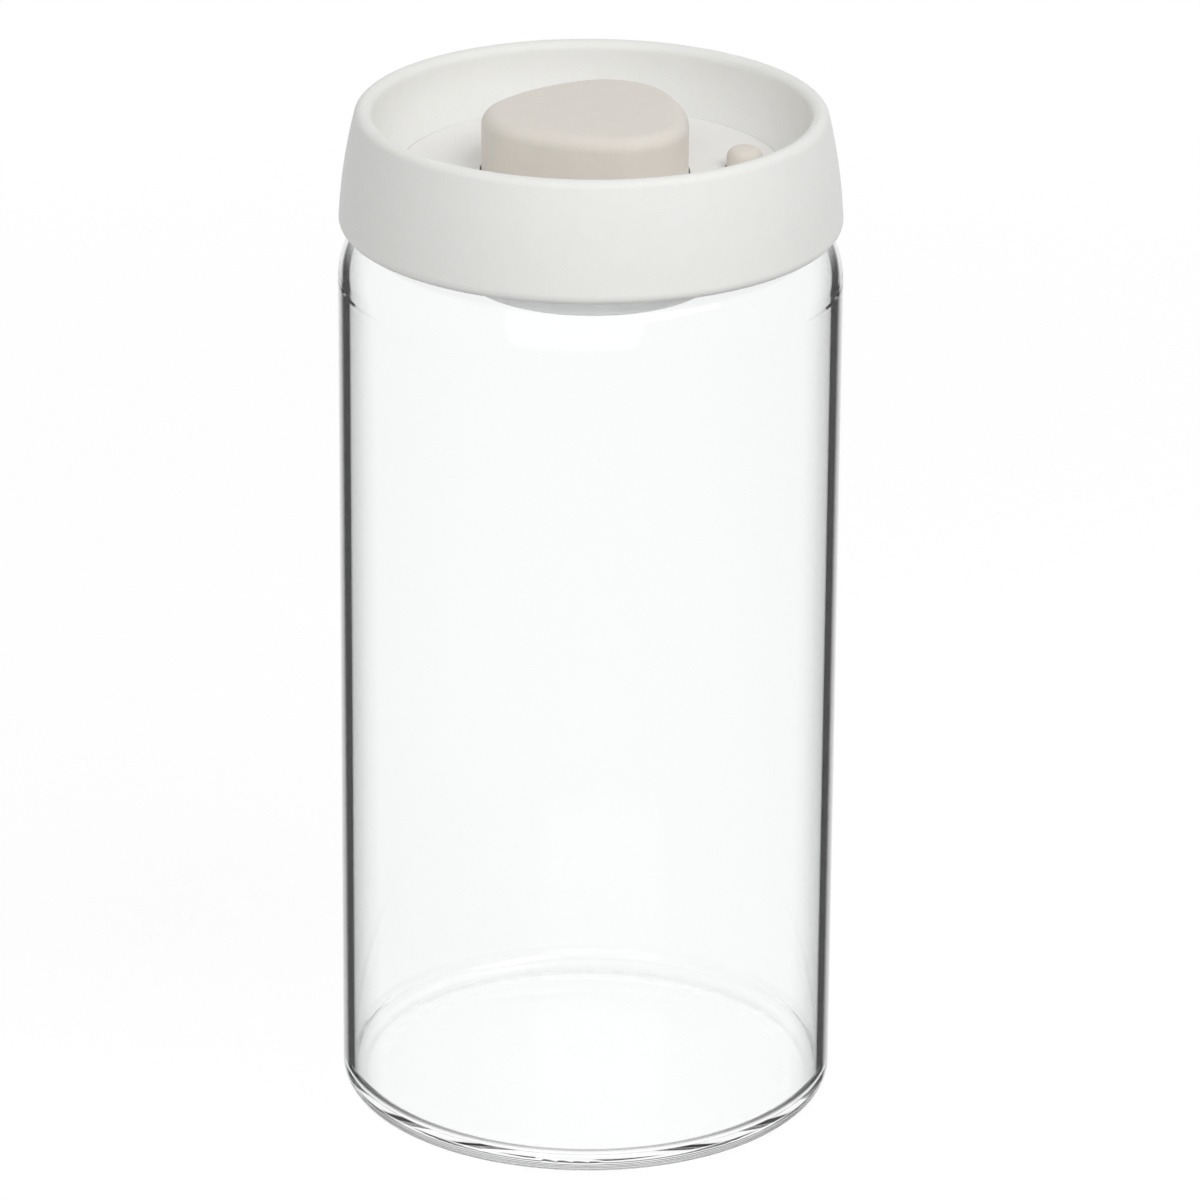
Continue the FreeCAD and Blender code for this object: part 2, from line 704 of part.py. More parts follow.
def umbrella(label, radius, rise, seat, stem, web, barb):
    """Silicone umbrella valve: a dome that lies on its seat, a stem through the web and a barb under it."""
    dome = f"({radius}^2 + {rise}^2) / (2 * {rise})"
    return turned(label, [
        corner("0", f"{seat} - {web} - {barb}"),
        corner(stem, f"{seat} - {web} - {barb}"),
        corner(f"{stem} + barb_flare", f"{seat} - {web}"),
        corner(stem, f"{seat} - {web}"),
        corner(stem, seat),
        corner(radius, seat),
        corner(radius, f"{seat} + valve_edge", arc=dome),
        corner("0", f"{seat} + valve_edge + {rise}"),
    ])


def make_filter():
    """Felt pad under the intake holes, and the pierced cap that holds it."""
    pad = new_body("filter_pad")

    def felt(sketch):
        draw_circle(sketch, "filter_radius - stem_play")
        draw_circle(sketch, "intake_stem * 2")

    add_pad(pad, "felt", f"{BARREL_END} + filter_cap_thickness", "filter_depth - filter_cap_thickness", felt)
    cap = new_body("filter_cap")
    add_pad(cap, "disc", BARREL_END, "filter_cap_thickness",
            lambda sketch: draw_circle(sketch, "filter_radius - stem_play"))

    def at_share(share):
        return lambda sketch: draw_circle(sketch, "filter_hole", f"filter_radius * {share}")

    for ring, share in (("inner", "1 / 3"), ("outer", "2 / 3")):
        hole = add_cut(cap, f"{ring}_hole", f"{BARREL_END} + filter_cap_thickness", "filter_cap_thickness",
                       at_share(share))
        add_pattern(cap, f"{ring}_holes", [hole], f"filter_{ring}_count")


def make_pump_button():
    """Hollow three-sided cap: rounded top edges, screw bosses inside, air notches in its lower edge."""
    body = new_body("pump_button")
    height = f"({BUTTON_TOP} - {PISTON_TOP})"
    add_pad(body, "cap", PISTON_TOP, height, lambda sketch: draw_button(sketch, "0"))
    add_edge_finish(body, "PartDesign::Fillet", "top_edge", face_at(BUTTON_TOP), "Radius", "button_round")
    add_cut(body, "hollow", PISTON_TOP, f"{height} - button_top",
            lambda sketch: draw_button(sketch, "(0 - button_wall)"), upward=True)

    def at_boss(radius):
        return lambda sketch: draw_circle(sketch, radius, f"-{BUTTON_BOSS_PLACE}")

    def air_notch(sketch):
        near, far = "button_half_width - 2 * button_wall", "button_half_width + button_wall"
        draw_box(sketch, near, far, "notch_width / 2")

    boss = add_pad(body, "boss", BUTTON_CEILING, f"{BUTTON_CEILING} - {PISTON_TOP}",
                   at_boss("button_boss_radius"), down=True)
    pilot = add_cut(body, "pilot", PISTON_TOP, "piston_screw_length - piston_web + screw_tip_gap",
                    at_boss(PILOT), upward=True)
    add_pattern(body, "bosses", [boss, pilot], "screw_count")
    notch = add_cut(body, "notch", PISTON_TOP, "notch_height", air_notch, upward=True)
    add_pattern(body, "notches", [notch], "screw_count")


def make_piston():
    """Disc with a seal groove in its rim and a hub that houses the spring up to the button's ceiling."""
    body = turned("piston", [
        corner("0", SPRING_CEILING),
        corner(HUB_INSIDE, SPRING_CEILING),
        corner(HUB_INSIDE, PISTON_WEB),
        corner(PISTON_INSIDE, PISTON_WEB),
        corner(PISTON_INSIDE, PISTON_END),
        corner(PISTON, PISTON_END),
        corner(PISTON, GROOVE_LOW),
        corner(GROOVE, GROOVE_LOW),
        corner(GROOVE, GROOVE_HIGH),
        corner(PISTON, GROOVE_HIGH),
        corner(PISTON, PISTON_TOP),
        corner(HUB, PISTON_TOP),
        corner(HUB, BUTTON_CEILING),
        corner("0", BUTTON_CEILING),
    ])
    hole = add_cut(body, "screw_hole", PISTON_TOP, "piston_web",
                   lambda sketch: draw_circle(sketch, SCREW_HOLE, f"-{BUTTON_BOSS_PLACE}"))
    add_pattern(body, "screw_holes", [hole], "screw_count")

    def exhaust(sketch):
        draw_circle(sketch, "exhaust_stem + stem_play", EXHAUST_PLACE)
        reach = "((exhaust_stem + exhaust_radius) / 2)"
        for across, up in ((f"{EXHAUST_PLACE} + {reach}", "0"), (f"{EXHAUST_PLACE} - {reach}", "0"),
                           (EXHAUST_PLACE, reach), (EXHAUST_PLACE, f"-{reach}")):
            draw_circle(sketch, "exhaust_hole", across, up)

    add_cut(body, "exhaust_holes", PISTON_TOP, "piston_web", exhaust)


def make_piston_seal():
    """Silicone cup seal: its lip leans out and down towards the bore."""
    inside = f"({GROOVE} + seal_play)"
    low, high = f"({GROOVE_LOW} + seal_play)", f"({GROOVE_HIGH} - seal_play)"
    foot, back, shelf = f"({inside} + seal_foot)", f"({inside} + seal_back)", f"({low} + seal_shelf)"
    tip = f"({BORE} - seal_gap)"
    turned("piston_seal", [
        corner(inside, low),
        corner(foot, low),
        corner(foot, shelf),
        corner(f"{foot} + seal_slot", shelf),
        corner(f"{tip} - seal_lip", low),
        corner(tip, low),
        corner(back, shelf),
        corner(back, high),
        corner(inside, high),
    ])


def make_screws(label, place, seat, length):
    """A ring of slotted pan-head screws driven upward, heads under a seat."""
    half_head = "(screw_head_height / 2)"
    dome = f"((screw_head^2 + {half_head}^2) / (2 * {half_head}))"
    body = turned(label, [
        corner(f"-{place}", f"{seat} - screw_head_height", arc=dome),
        corner(f"-({place} - screw_head)", f"{seat} - {half_head}"),
        corner(f"-({place} - screw_head)", seat),
        corner(f"-({place} - screw_radius)", seat),
        corner(f"-({place} - screw_radius)", f"{seat} + {length} - screw_radius"),
        corner(f"-{place}", f"{seat} + {length}"),
    ], axis=f"-{place}")
    screw = body.Tip

    def across_head(sketch):
        near, far = f"-({place} + screw_head * 2)", f"-({place} - screw_head * 2)"
        draw_box(sketch, near, far, "slot_width / 2")

    slot = add_cut(body, "slot", f"{seat} - screw_head_height", "slot_depth", across_head, upward=True)
    add_pattern(body, "screws", [screw, slot], "screw_count")


def make_release_button():
    """Domed nub, hollow for its spring, with a stem that carries the seal below the tube's floor."""
    body = turned("release_button", [
        corner("0", STEM_END),
        corner("release_stem", STEM_END),
        corner("release_stem", CLIP_END),
        corner("release_stem - clip_groove", CLIP_END),
        corner("release_stem - clip_groove", RELEASE_SEAL_END),
        corner("release_stem", RELEASE_SEAL_END),
        corner("release_stem", NUB_CEILING),
        corner("nub_radius - nub_wall", NUB_CEILING),
        corner("nub_radius - nub_wall", NUB_END),
        corner("nub_radius", NUB_END),
        corner("nub_radius", f"{NUB_TOP} - nub_round", arc="nub_round"),
        corner("nub_radius - nub_round", NUB_TOP),
        corner("0", NUB_TOP),
    ])
    move_out(body, RELEASE_ACROSS, RELEASE_SIDE)


def make_release_seal():
    """Silicone disc that the spring holds against the tube's floor from below."""
    body = new_body("release_seal")

    def disc(sketch):
        draw_circle(sketch, "release_seal_radius")
        draw_circle(sketch, "release_stem + stem_play")

    add_pad(body, "disc", RELEASE_SEAL_END, "release_seal_thickness", disc)
    move_out(body, RELEASE_ACROSS, RELEASE_SIDE)


def make_release_clip():
    """Open clip in the stem's groove."""
    body = new_body("release_clip")

    def ring(sketch):
        draw_circle(sketch, "clip_radius")
        draw_circle(sketch, "release_stem - clip_groove + stem_play")

    add_pad(body, "ring", CLIP_END, "clip_thickness", ring)
    add_cut(body, "mouth", RELEASE_SEAL_END, "clip_thickness",
            lambda sketch: draw_box(sketch, "0", "clip_radius * 1.5", "clip_mouth / 2"))
    move_out(body, RELEASE_ACROSS, RELEASE_SIDE)


def arc_leaving(start, heading, end):
    """The arc that leaves start along heading and ends at end."""
    chord = end - start
    along = FreeCAD.Vector(chord).normalize()
    aside = (heading - along * heading.dot(along)).normalize()
    rise = chord.Length / 2 * math.tan(heading.getAngle(along) / 2)
    return Part.Arc(start, (start + end) / 2 + aside * rise, end).toShape()


def biarc(start, heading, end, end_heading):
    """Two tangent arcs between two points with given headings."""
    chord, bend = end - start, 2 * (1 - heading.dot(end_heading))
    lean = chord.dot(heading + end_heading)
    reach = (math.sqrt(lean**2 + bend * chord.dot(chord)) - lean) / bend
    joint = (start + end + (heading - end_heading) * reach) / 2
    joint_heading = (end - joint - end_heading * reach).normalize()
    if joint_heading.Length == 0:
        joint_heading = FreeCAD.Vector(chord).normalize()
    return [arc_leaving(start, heading, joint), arc_leaving(joint, joint_heading, end)]


def coil_height(share, low, high, wire, turns):
    """Height along a coil: closed end turns, and even open turns between them."""
    dead_rise = wire + 1.5 * SPRING_MIN_GAP
    turn = share * turns
    open_rise = (high - low - 2 * dead_rise) / (turns - 2)
    if turn < 1:
        return low + dead_rise * turn
    if turn > turns - 1:
        return high - dead_rise * (turns - turn)
    return low + dead_rise + open_rise * (turn - 1)


def make_spring(label, radius, wire, turns, low, high, across="0", side="0"):
    """Coil spring as one tube along biarcs of a quarter turn."""
    radius, wire, turns = number(radius), number(wire), round(number(turns))
    low, high = number(low) + wire / 2, number(high) - wire / 2
    quarters = 4 * turns

    def point(step):
        angle = math.pi / 2 * step
        return FreeCAD.Vector(radius * math.cos(angle), radius * math.sin(angle),
                              coil_height(step / quarters, low, high, wire, turns))

    def heading(step):
        small = 1e-3
        before, after = max(step - small, 0), min(step + small, quarters)
        return (point(after) - point(before)).normalize()

    edges = []
    for step in range(quarters):
        edges += biarc(point(step), heading(step), point(step + 1), heading(step + 1))
    path = Part.Wire(edges)
    section = Part.Wire(Part.Circle(point(0), heading(0), wire / 2).toShape())
    tube = path.makePipeShell([section], True, False)
    samples = [point(quarters * index / (24 * turns)) for index in range(24 * turns + 1)]
    gap = min(samples[index].distanceToPoint(samples[index + turn_back]) - wire
              for turn_back in range(20, 29) for index in range(len(samples) - turn_back))
    print(f"{label}: least gap to itself {gap:.2f} mm, volume over section times length "
          f"{tube.Volume / (math.pi * wire**2 / 4 * path.Length):.4f}")
    if gap < SPRING_MIN_GAP:
        raise ValueError(f"{label}: turns are too close")
    spring = document.addObject("Part::Feature", label)
    spring.Label = label
    spring.Shape = tube
    spring.Placement = FreeCAD.Placement(FreeCAD.Vector(number(across), number(side), 0),
                                         FreeCAD.Rotation())
    subparts.append(spring)


def write_parts():
    """Check every object, then write each sub-part to its own file."""
    document.recompute()
    for item in document.Objects:
        if {"Invalid", "Error"} & set(item.State):
            raise ValueError(f"{item.Label}: {item.State}")
    for item in subparts:
        if item.Shape.isNull() or not item.Shape.isValid() or not item.Shape.Solids:
            raise ValueError(f"{item.Label}: no valid solid")
    os.makedirs("parts", exist_ok=True)
    for item in subparts:
        item.Shape.exportStep(f"parts/{item.Label}.step")
        print(f"{item.Label}: {len(item.Shape.Solids)} solids, {item.Shape.Volume:.1f} mm3")


make_glass_jar()
make_lid_ring()
make_lid_core()
make_well_plate()
make_main_gasket()
make_pump_cylinder()
make_cylinder_gasket()
make_screws("cylinder_screws", BOSS_PLACE, LUG_END, "cylinder_screw_length")
umbrella("intake_valve", INTAKE, "intake_rise", PUMP_FLOOR, "intake_stem", "barrel_floor", "intake_barb")
make_filter()
make_pump_button()
make_piston()
make_piston_seal()
exhaust_valve = umbrella("exhaust_valve", "exhaust_radius", "exhaust_rise", PISTON_TOP, "exhaust_stem",
                         "piston_web", "exhaust_barb")
move_out(exhaust_valve, EXHAUST_PLACE)
make_screws("piston_screws", BUTTON_BOSS_PLACE, PISTON_WEB, "piston_screw_length")
make_release_button()
make_release_seal()
make_release_clip()
make_spring("pump_spring", SPRING, "spring_wire", "spring_turns", PUMP_FLOOR, SPRING_CEILING)
make_spring("release_spring", "release_spring_radius", "release_spring_wire", "release_spring_turns",
            TUBE_FLOOR, NUB_CEILING, RELEASE_ACROSS, RELEASE_SIDE)
write_parts()
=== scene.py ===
import math

import bmesh
import bpy
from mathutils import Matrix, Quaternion, Vector, noise


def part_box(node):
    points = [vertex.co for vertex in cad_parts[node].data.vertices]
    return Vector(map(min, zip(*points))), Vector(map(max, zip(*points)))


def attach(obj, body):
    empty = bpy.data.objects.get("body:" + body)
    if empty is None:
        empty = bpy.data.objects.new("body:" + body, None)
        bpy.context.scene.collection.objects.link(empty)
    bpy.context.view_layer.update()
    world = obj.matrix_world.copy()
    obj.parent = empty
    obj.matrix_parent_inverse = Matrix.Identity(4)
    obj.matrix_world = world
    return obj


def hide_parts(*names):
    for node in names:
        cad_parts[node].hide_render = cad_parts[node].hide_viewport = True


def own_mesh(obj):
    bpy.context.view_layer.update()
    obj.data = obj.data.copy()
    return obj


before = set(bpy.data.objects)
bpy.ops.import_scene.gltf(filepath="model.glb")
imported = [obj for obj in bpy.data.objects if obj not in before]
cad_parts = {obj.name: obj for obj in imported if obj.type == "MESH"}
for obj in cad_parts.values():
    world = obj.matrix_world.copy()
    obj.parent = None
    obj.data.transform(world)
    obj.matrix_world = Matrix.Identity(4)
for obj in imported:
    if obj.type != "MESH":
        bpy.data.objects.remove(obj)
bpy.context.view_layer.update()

# The canister stands on z = 0 with its axis on the Z axis. All lengths are in metres.

# Camera: where it stands round the jar, the point that the picture is centred on, and how far it sees.
CAMERA_ROUND = math.radians(-10.0)
CAMERA_RISE = math.radians(21.93)
CAMERA_AWAY = 1.4547
CAMERA_LENS = 216.5
CAMERA_ROLL = math.radians(0.4)
JAR_MIDDLE = Vector((0.0, 0.0, 0.1))
AIM_RIGHT = 0.0023
AIM_UP = 0.00426
NEAREST_SEEN = 0.05
FARTHEST_SEEN = 50.0

# Finishes, as the eye names them: red, green and blue from 0 to 255.
LID_WHITE = (237, 237, 234)
PLATE_WHITE = (243, 242, 239)
INNER_WHITE = (238, 239, 238)
BUTTON_GREY = (225, 219, 210)
SILICONE_MILK = (226, 229, 229)
STEEL_GREY = (196, 198, 201)
FELT_GREY = (214, 211, 202)

# How many levels darker the clouds in rubber and the stains on steel are, and the painted shade in the
# hollows of felt.
SILICONE_SHADE = 12
STEEL_SHADE = 26
# Painted shade in the felt's hollows between fibres.
FELT_HOLLOW_SHADE = 40

# Speckle: its noise, and how far its tones are pulled apart.
SPECKLE_NOISE = {"Detail": 3.0, "Roughness": 0.55}
SPECKLE_SPREAD = {"From Min": 0.25, "From Max": 0.75}

# Moulded plastic: size of its clouds of tone and of its spark-eroded grain, how strongly the grain stands
# out, how far it changes the roughness, and what light does within it. Depth is that of the grain.
CLOUD_GRAIN = 0.0035
SPARK_GRAIN = 0.00035
GRAIN_STRENGTH = 0.35
GRAIN_ROUGHENS = 0.05
PLASTIC_BODY = {"IOR": 1.48, "Subsurface Scale": 0.002, "Subsurface Radius": (1.0, 0.9, 0.8)}
PLASTICS = {
    "lid_plastic": {
        "colour": LID_WHITE, "roughness": 0.42, "clouding": 0.02, "depth": 0.00004, "softness": 0.05},
    "plate_plastic": {
        "colour": PLATE_WHITE, "roughness": 0.42, "clouding": 0.02, "depth": 0.00004, "softness": 0.05},
    "inner_plastic": {
        "colour": INNER_WHITE, "roughness": 0.36, "clouding": 0.03, "depth": 0.00003, "softness": 0.1},
    "button_plastic": {
        "colour": BUTTON_GREY, "roughness": 0.45, "clouding": 0.03, "depth": 0.00005, "softness": 0.05},
}

# Rubber, steel and felt: sizes of their marks, the range of roughness between them, relief and body.
SILICONE_CLOUD = 0.0025
SILICONE_BLOOM = 0.0004
SILICONE_ROUGH = {"To Min": 0.42, "To Max": 0.6}
SILICONE_BODY = {
    "IOR": 1.41, "Subsurface Weight": 0.4, "Subsurface Scale": 0.003, "Subsurface Radius": (1.0, 1.0, 1.0),
    "Sheen Weight": 0.15, "Sheen Roughness": 0.5}
STEEL_LINE = 0.0006
STEEL_LINE_STRETCH = (0.2, 0.2, 6.0)
STEEL_STAIN = 0.003
STEEL_ROUGH = {"To Min": 0.18, "To Max": 0.4}
STEEL_SCRATCH = {"Strength": 0.15, "Distance": 0.00003}
FELT_FIBRE = 0.0005
FELT_FIBRE_STRETCH = (1.0, 0.35, 1.0)
FELT_FUZZ = {"Strength": 0.8, "Distance": 0.0002}
FELT_BODY = {"Roughness": 0.95, "Sheen Weight": 0.4, "Sheen Roughness": 0.6}

# Glass: its colour, the tint along its outer skin, the dark colour painted as shade into the wall's edges,
# the colour of light that casts its shadow, and its faint upright waves.
GLASS_IOR = 1.5
GLASS_CLEAR = (0.985, 0.99, 0.99, 1.0)
GLASS_TINT = (0.99, 0.997, 1.0)
# Painted shade: the dark colour laid into the wall along the glass's edges.
GLASS_PAINTED_DARK = (0.03, 0.032, 0.034, 1.0)
GLASS_SHADOW = (0.96, 0.97, 0.97, 1.0)
GLASS_WAVE = 0.03
GLASS_WAVE_STRETCH = (1.0, 1.0, 0.4)
GLASS_RIPPLE = {"Strength": 0.02, "Distance": 0.0002}

# Ramps of the glass, as pairs of place and value, which paint a dark shade along the glass's edges, in this
# order:
# brightness of the outer skin, darker by painted shade as it turns away;
# share of the outer skin's reflection taken away near the edge, painted shade;
# share of the painted dark wall colour, by how much the inner skin throws back;
# how much of that holds, by how far the inner skin turns away, so that the outermost strip stays pale.
GLASS_EDGE_SHADE = ((0.0, 0.985), (1.0, 0.9), (0.185, 0.955), (0.475, 0.9), (0.6, 0.86), (0.75, 0.82))
GLASS_REFLECTION_CUT = ((0.0, 0.0), (1.0, 0.0), (0.5, 0.0), (0.68, 0.9), (0.8, 0.9), (0.85, 0.0))
GLASS_DARK_SHARE = ((0.0, 0.0), (1.0, 0.91), (0.12, 0.0), (0.25, 0.15), (0.48, 0.28), (0.7, 0.5))
GLASS_LIP = ((0.0, 1.0), (1.0, 1.0), (0.2735, 1.0), (0.2795, 0.2), (0.291, 0.2), (0.297, 1.0))

# How much of a skin's direction points away from the jar's axis: the least for an outer skin, and the range
# in which an inner one comes to count as upright.
WALL_LEAN = 0.08
WALL_UPRIGHT = {"From Min": 0.75, "From Max": 0.99}

# Springs: wire, turns, share of the wire that is ground off each end, the gap between closed turns, how much
# of a turn stays closed before the pitch opens, and how finely pitch, coil and wire are drawn.
PUMP_WIRE = 0.0012
PUMP_TURNS = 8
RELEASE_WIRE = 0.0004
RELEASE_TURNS = 7
GROUND_SHARE = 0.12
CLOSED_GAP = 0.0006
CLOSED_PART = 0.5
PITCH_STEPS = 64
STEPS_PER_TURN = 64
WIRE_SIDES = 16

# Felt ring: radius of its hole, how deep its nap is as a share of half its thickness, how square its edge and
# how flat its face is, how close its fibres stand along and through it, and how finely it is drawn.
FELT_HOLE = 0.0024
FELT_NAP = 0.18
FELT_EDGE = 0.25
FELT_FACE = 0.45
FIBRES_PER_METRE = 3000.0
FIBRES_DEEP = 3.0
FELT_AROUND = 160
FELT_ACROSS = 26

# Studio: light from the room, how far the floor goes, its own tones for light, for glow and for shadows,
# where it fades into the white room, and how many times light may bounce in the glass.
WHITE = (1.0, 1.0, 1.0, 1.0)
ROOM_LIGHT = 0.47
FLOOR_REACH = 8.0
FLOOR_PALE = 0.65
FLOOR_GLOW = 0.78
FLOOR_SHADE = 0.3
FLOOR_NEAR = 0.3
FLOOR_FAR = 0.65
LIGHT_PATHS = 24

# Soft boxes: degrees round from the front and up, distance, size and watts.
SOFTBOXES = {
    "front": {"round_angle": -18.0, "rise": 24.0, "away": 1.3, "wide": 1.5, "tall": 1.5, "power": 6.4},
    "high": {"round_angle": 40.0, "rise": 54.0, "away": 1.3, "wide": 0.8, "tall": 0.8, "power": 5.8},
}

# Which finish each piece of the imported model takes.
NODE_FINISH = {
    "glass_jar": "clear_glass",
    "lid_ring": "lid_plastic",
    "well_plate": "plate_plastic",
    "lid_core": "inner_plastic",
    "pump_cylinder": "inner_plastic",
    "filter_cap": "inner_plastic",
    "piston": "inner_plastic",
    "pump_button": "button_plastic",
    "release_button": "button_plastic",
    "main_gasket": "silicone",
    "cylinder_gasket": "silicone",
    "intake_valve": "silicone",
    "piston_seal": "silicone",
    "exhaust_valve": "silicone",
    "release_seal": "silicone",
    "cylinder_screws": "steel",
    "piston_screws": "steel",
    "release_clip": "steel",
}


def linear(colour):
    """A colour from 0 to 255 as the linear values that the shaders take."""
    parts = []
    for value in colour:
        share = value / 255.0
        parts.append(share / 12.92 if share <= 0.04045 else ((share + 0.055) / 1.055) ** 2.4)
    return (*parts, 1.0)


def darker(colour, levels):
    """A colour some levels darker, as linear values."""
    return linear([value - levels for value in colour])


def add_node(tree, kind, values=None, **settings):
    """Place one node, with its settings and the values of its named or numbered inputs."""
    node = tree.nodes.new(kind)
    for name, setting in settings.items():
        setattr(node, name, setting)
    for key, value in (values or {}).items():
        node.inputs[key].default_value = value
    return node


def join(tree, source, output, target, entry):
    """Link an output of one node to an input of another."""
    tree.links.new(source.outputs[output], target.inputs[entry])


def new_group(name, takes, gives):
    """An empty shader group with its sockets, and the nodes that stand for them inside it."""
    group = bpy.data.node_groups.new(name, "ShaderNodeTree")
    for label, kind, value in takes:
        socket = group.interface.new_socket(label, in_out="INPUT", socket_type=kind)
        socket.default_value = value
    for label, kind in gives:
        group.interface.new_socket(label, in_out="OUTPUT", socket_type=kind)
    return group, add_node(group, "NodeGroupInput"), add_node(group, "NodeGroupOutput")


def new_material(name):
    """A material with an empty node tree and its output."""
    material = bpy.data.materials.new(name)
    material.use_nodes = True
    tree = material.node_tree
    tree.nodes.clear()
    return material, tree, add_node(tree, "ShaderNodeOutputMaterial")


def make_speckle():
    """Even cloudy speckle of a given grain, in metres, as a value from 0 to 1."""
    group, takes, gives = new_group(
        "speckle",
        [("Grain", "NodeSocketFloat", 0.001), ("Stretch", "NodeSocketVector", (1.0, 1.0, 1.0))],
        [("Value", "NodeSocketFloat")])
    place = add_node(group, "ShaderNodeTexCoord")
    sized = add_node(group, "ShaderNodeVectorMath", operation="MULTIPLY")
    join(group, place, "Object", sized, 0)
    join(group, takes, "Stretch", sized, 1)
    grains = add_node(group, "ShaderNodeMath", {0: 1.0}, operation="DIVIDE")
    join(group, takes, "Grain", grains, 1)
    cloud = add_node(group, "ShaderNodeTexNoise", SPECKLE_NOISE)
    join(group, sized, "Vector", cloud, "Vector")
    join(group, grains, "Value", cloud, "Scale")
    spread = add_node(group, "ShaderNodeMapRange", SPECKLE_SPREAD)
    join(group, cloud, "Fac", spread, "Value")
    join(group, spread, "Result", gives, "Value")
    return group


def add_speckle(tree, grain, stretch=(1.0, 1.0, 1.0)):
    """The speckle group, placed in a tree with its own grain."""
    node = add_node(tree, "ShaderNodeGroup", node_tree=SPECKLE)
    node.inputs["Grain"].default_value = grain
    node.inputs["Stretch"].default_value = stretch
    return node


def make_moulded_skin():
    """The skin of moulded plastic: clouds of tone, and a fine spark-eroded grain that breaks the gloss."""
    group, takes, gives = new_group(
        "moulded_skin",
        [("Colour", "NodeSocketColor", (0.8, 0.8, 0.8, 1.0)), ("Clouding", "NodeSocketFloat", 0.03),
         ("Roughness", "NodeSocketFloat", 0.4)],
        [("Colour", "NodeSocketColor"), ("Roughness", "NodeSocketFloat"), ("Height", "NodeSocketFloat")])
    clouds = add_speckle(group, CLOUD_GRAIN)
    grain = add_speckle(group, SPARK_GRAIN)
    shade = add_node(group, "ShaderNodeMath", operation="MULTIPLY")
    join(group, clouds, "Value", shade, 0)
    join(group, takes, "Clouding", shade, 1)
    light = add_node(group, "ShaderNodeMath", {0: 1.0}, operation="SUBTRACT")
    join(group, shade, "Value", light, 1)
    tone = add_node(group, "ShaderNodeVectorMath", operation="SCALE")
    join(group, takes, "Colour", tone, "Vector")
    join(group, light, "Value", tone, "Scale")
    join(group, tone, "Vector", gives, "Colour")
    rough = add_node(group, "ShaderNodeMapRange", {"To Min": -GRAIN_ROUGHENS, "To Max": GRAIN_ROUGHENS})
    join(group, grain, "Value", rough, "Value")
    satin = add_node(group, "ShaderNodeMath", operation="ADD")
    join(group, rough, "Result", satin, 0)
    join(group, takes, "Roughness", satin, 1)
    join(group, satin, "Value", gives, "Roughness")
    join(group, grain, "Value", gives, "Height")
    return group


def moulded_plastic(name, colour, roughness, clouding, depth, softness):
    """Satin plastic in one colour."""
    material, tree, output = new_material(name)
    skin = add_node(tree, "ShaderNodeGroup", node_tree=MOULDED_SKIN)
    skin.inputs["Colour"].default_value = linear(colour)
    skin.inputs["Clouding"].default_value = clouding
    skin.inputs["Roughness"].default_value = roughness
    grain = add_node(tree, "ShaderNodeBump", {"Strength": GRAIN_STRENGTH, "Distance": depth})
    join(tree, skin, "Height", grain, "Height")
    shader = add_node(tree, "ShaderNodeBsdfPrincipled", PLASTIC_BODY)
    shader.inputs["Subsurface Weight"].default_value = softness
    join(tree, skin, "Colour", shader, "Base Color")
    join(tree, skin, "Roughness", shader, "Roughness")
    join(tree, grain, "Normal", shader, "Normal")
    join(tree, shader, "BSDF", output, "Surface")
    return material


def add_ramp(tree, stops, tint=(1.0, 1.0, 1.0)):
    """A colour ramp from pairs of place and brightness."""
    node = add_node(tree, "ShaderNodeValToRGB")
    elements = node.color_ramp.elements
    for index, (place, value) in enumerate(stops):
        stop = elements[index] if index < 2 else elements.new(place)
        stop.position = place
        stop.color = (value * tint[0], value * tint[1], value * tint[2], 1.0)
    return node


def add_outward(tree):
    """The skin's values, the level way out from the jar's axis, and how far the skin points that way."""
    skin = add_node(tree, "ShaderNodeNewGeometry")
    flat = add_node(tree, "ShaderNodeVectorMath", {1: (1.0, 1.0, 0.0)}, operation="MULTIPLY")
    join(tree, skin, "Position", flat, 0)
    spoke = add_node(tree, "ShaderNodeVectorMath", operation="NORMALIZE")
    join(tree, flat, "Vector", spoke, 0)
    outward = add_node(tree, "ShaderNodeVectorMath", operation="DOT_PRODUCT")
    join(tree, spoke, "Vector", outward, 0)
    join(tree, skin, "Normal", outward, 1)
    return skin, spoke, outward


def add_wall_masks(tree, skin, outward):
    """Masks of the wall's outer skin and of its upright inner skin, met from within the glass."""
    turned = add_node(tree, "ShaderNodeMath", {1: WALL_LEAN}, operation="GREATER_THAN")
    join(tree, outward, "Value", turned, 0)
    upright = add_node(tree, "ShaderNodeMapRange", WALL_UPRIGHT, interpolation_type="SMOOTHSTEP")
    join(tree, outward, "Value", upright, "Value")
    front = add_node(tree, "ShaderNodeMath", {0: 1.0}, operation="SUBTRACT")
    join(tree, skin, "Backfacing", front, 1)
    outer = add_node(tree, "ShaderNodeMath", operation="MULTIPLY")
    join(tree, turned, "Value", outer, 0)
    join(tree, front, "Value", outer, 1)
    inner = add_node(tree, "ShaderNodeMath", operation="MULTIPLY")
    join(tree, upright, "Result", inner, 0)
    join(tree, skin, "Backfacing", inner, 1)
    return outer, inner


def add_even_normal(tree, skin, spoke, outward):
    """The normal of a turned body, with no trace of the seam where its mesh closes."""
    level = add_node(tree, "ShaderNodeVectorMath", operation="SCALE")
    join(tree, spoke, "Vector", level, "Vector")
    join(tree, outward, "Value", level, "Scale")
    rise = add_node(tree, "ShaderNodeVectorMath", {1: (0.0, 0.0, 1.0)}, operation="MULTIPLY")
    join(tree, skin, "Normal", rise, 0)
    both = add_node(tree, "ShaderNodeVectorMath", operation="ADD")
    join(tree, level, "Vector", both, 0)
    join(tree, rise, "Vector", both, 1)
    even = add_node(tree, "ShaderNodeVectorMath", operation="NORMALIZE")
    join(tree, both, "Vector", even, 0)
    return even


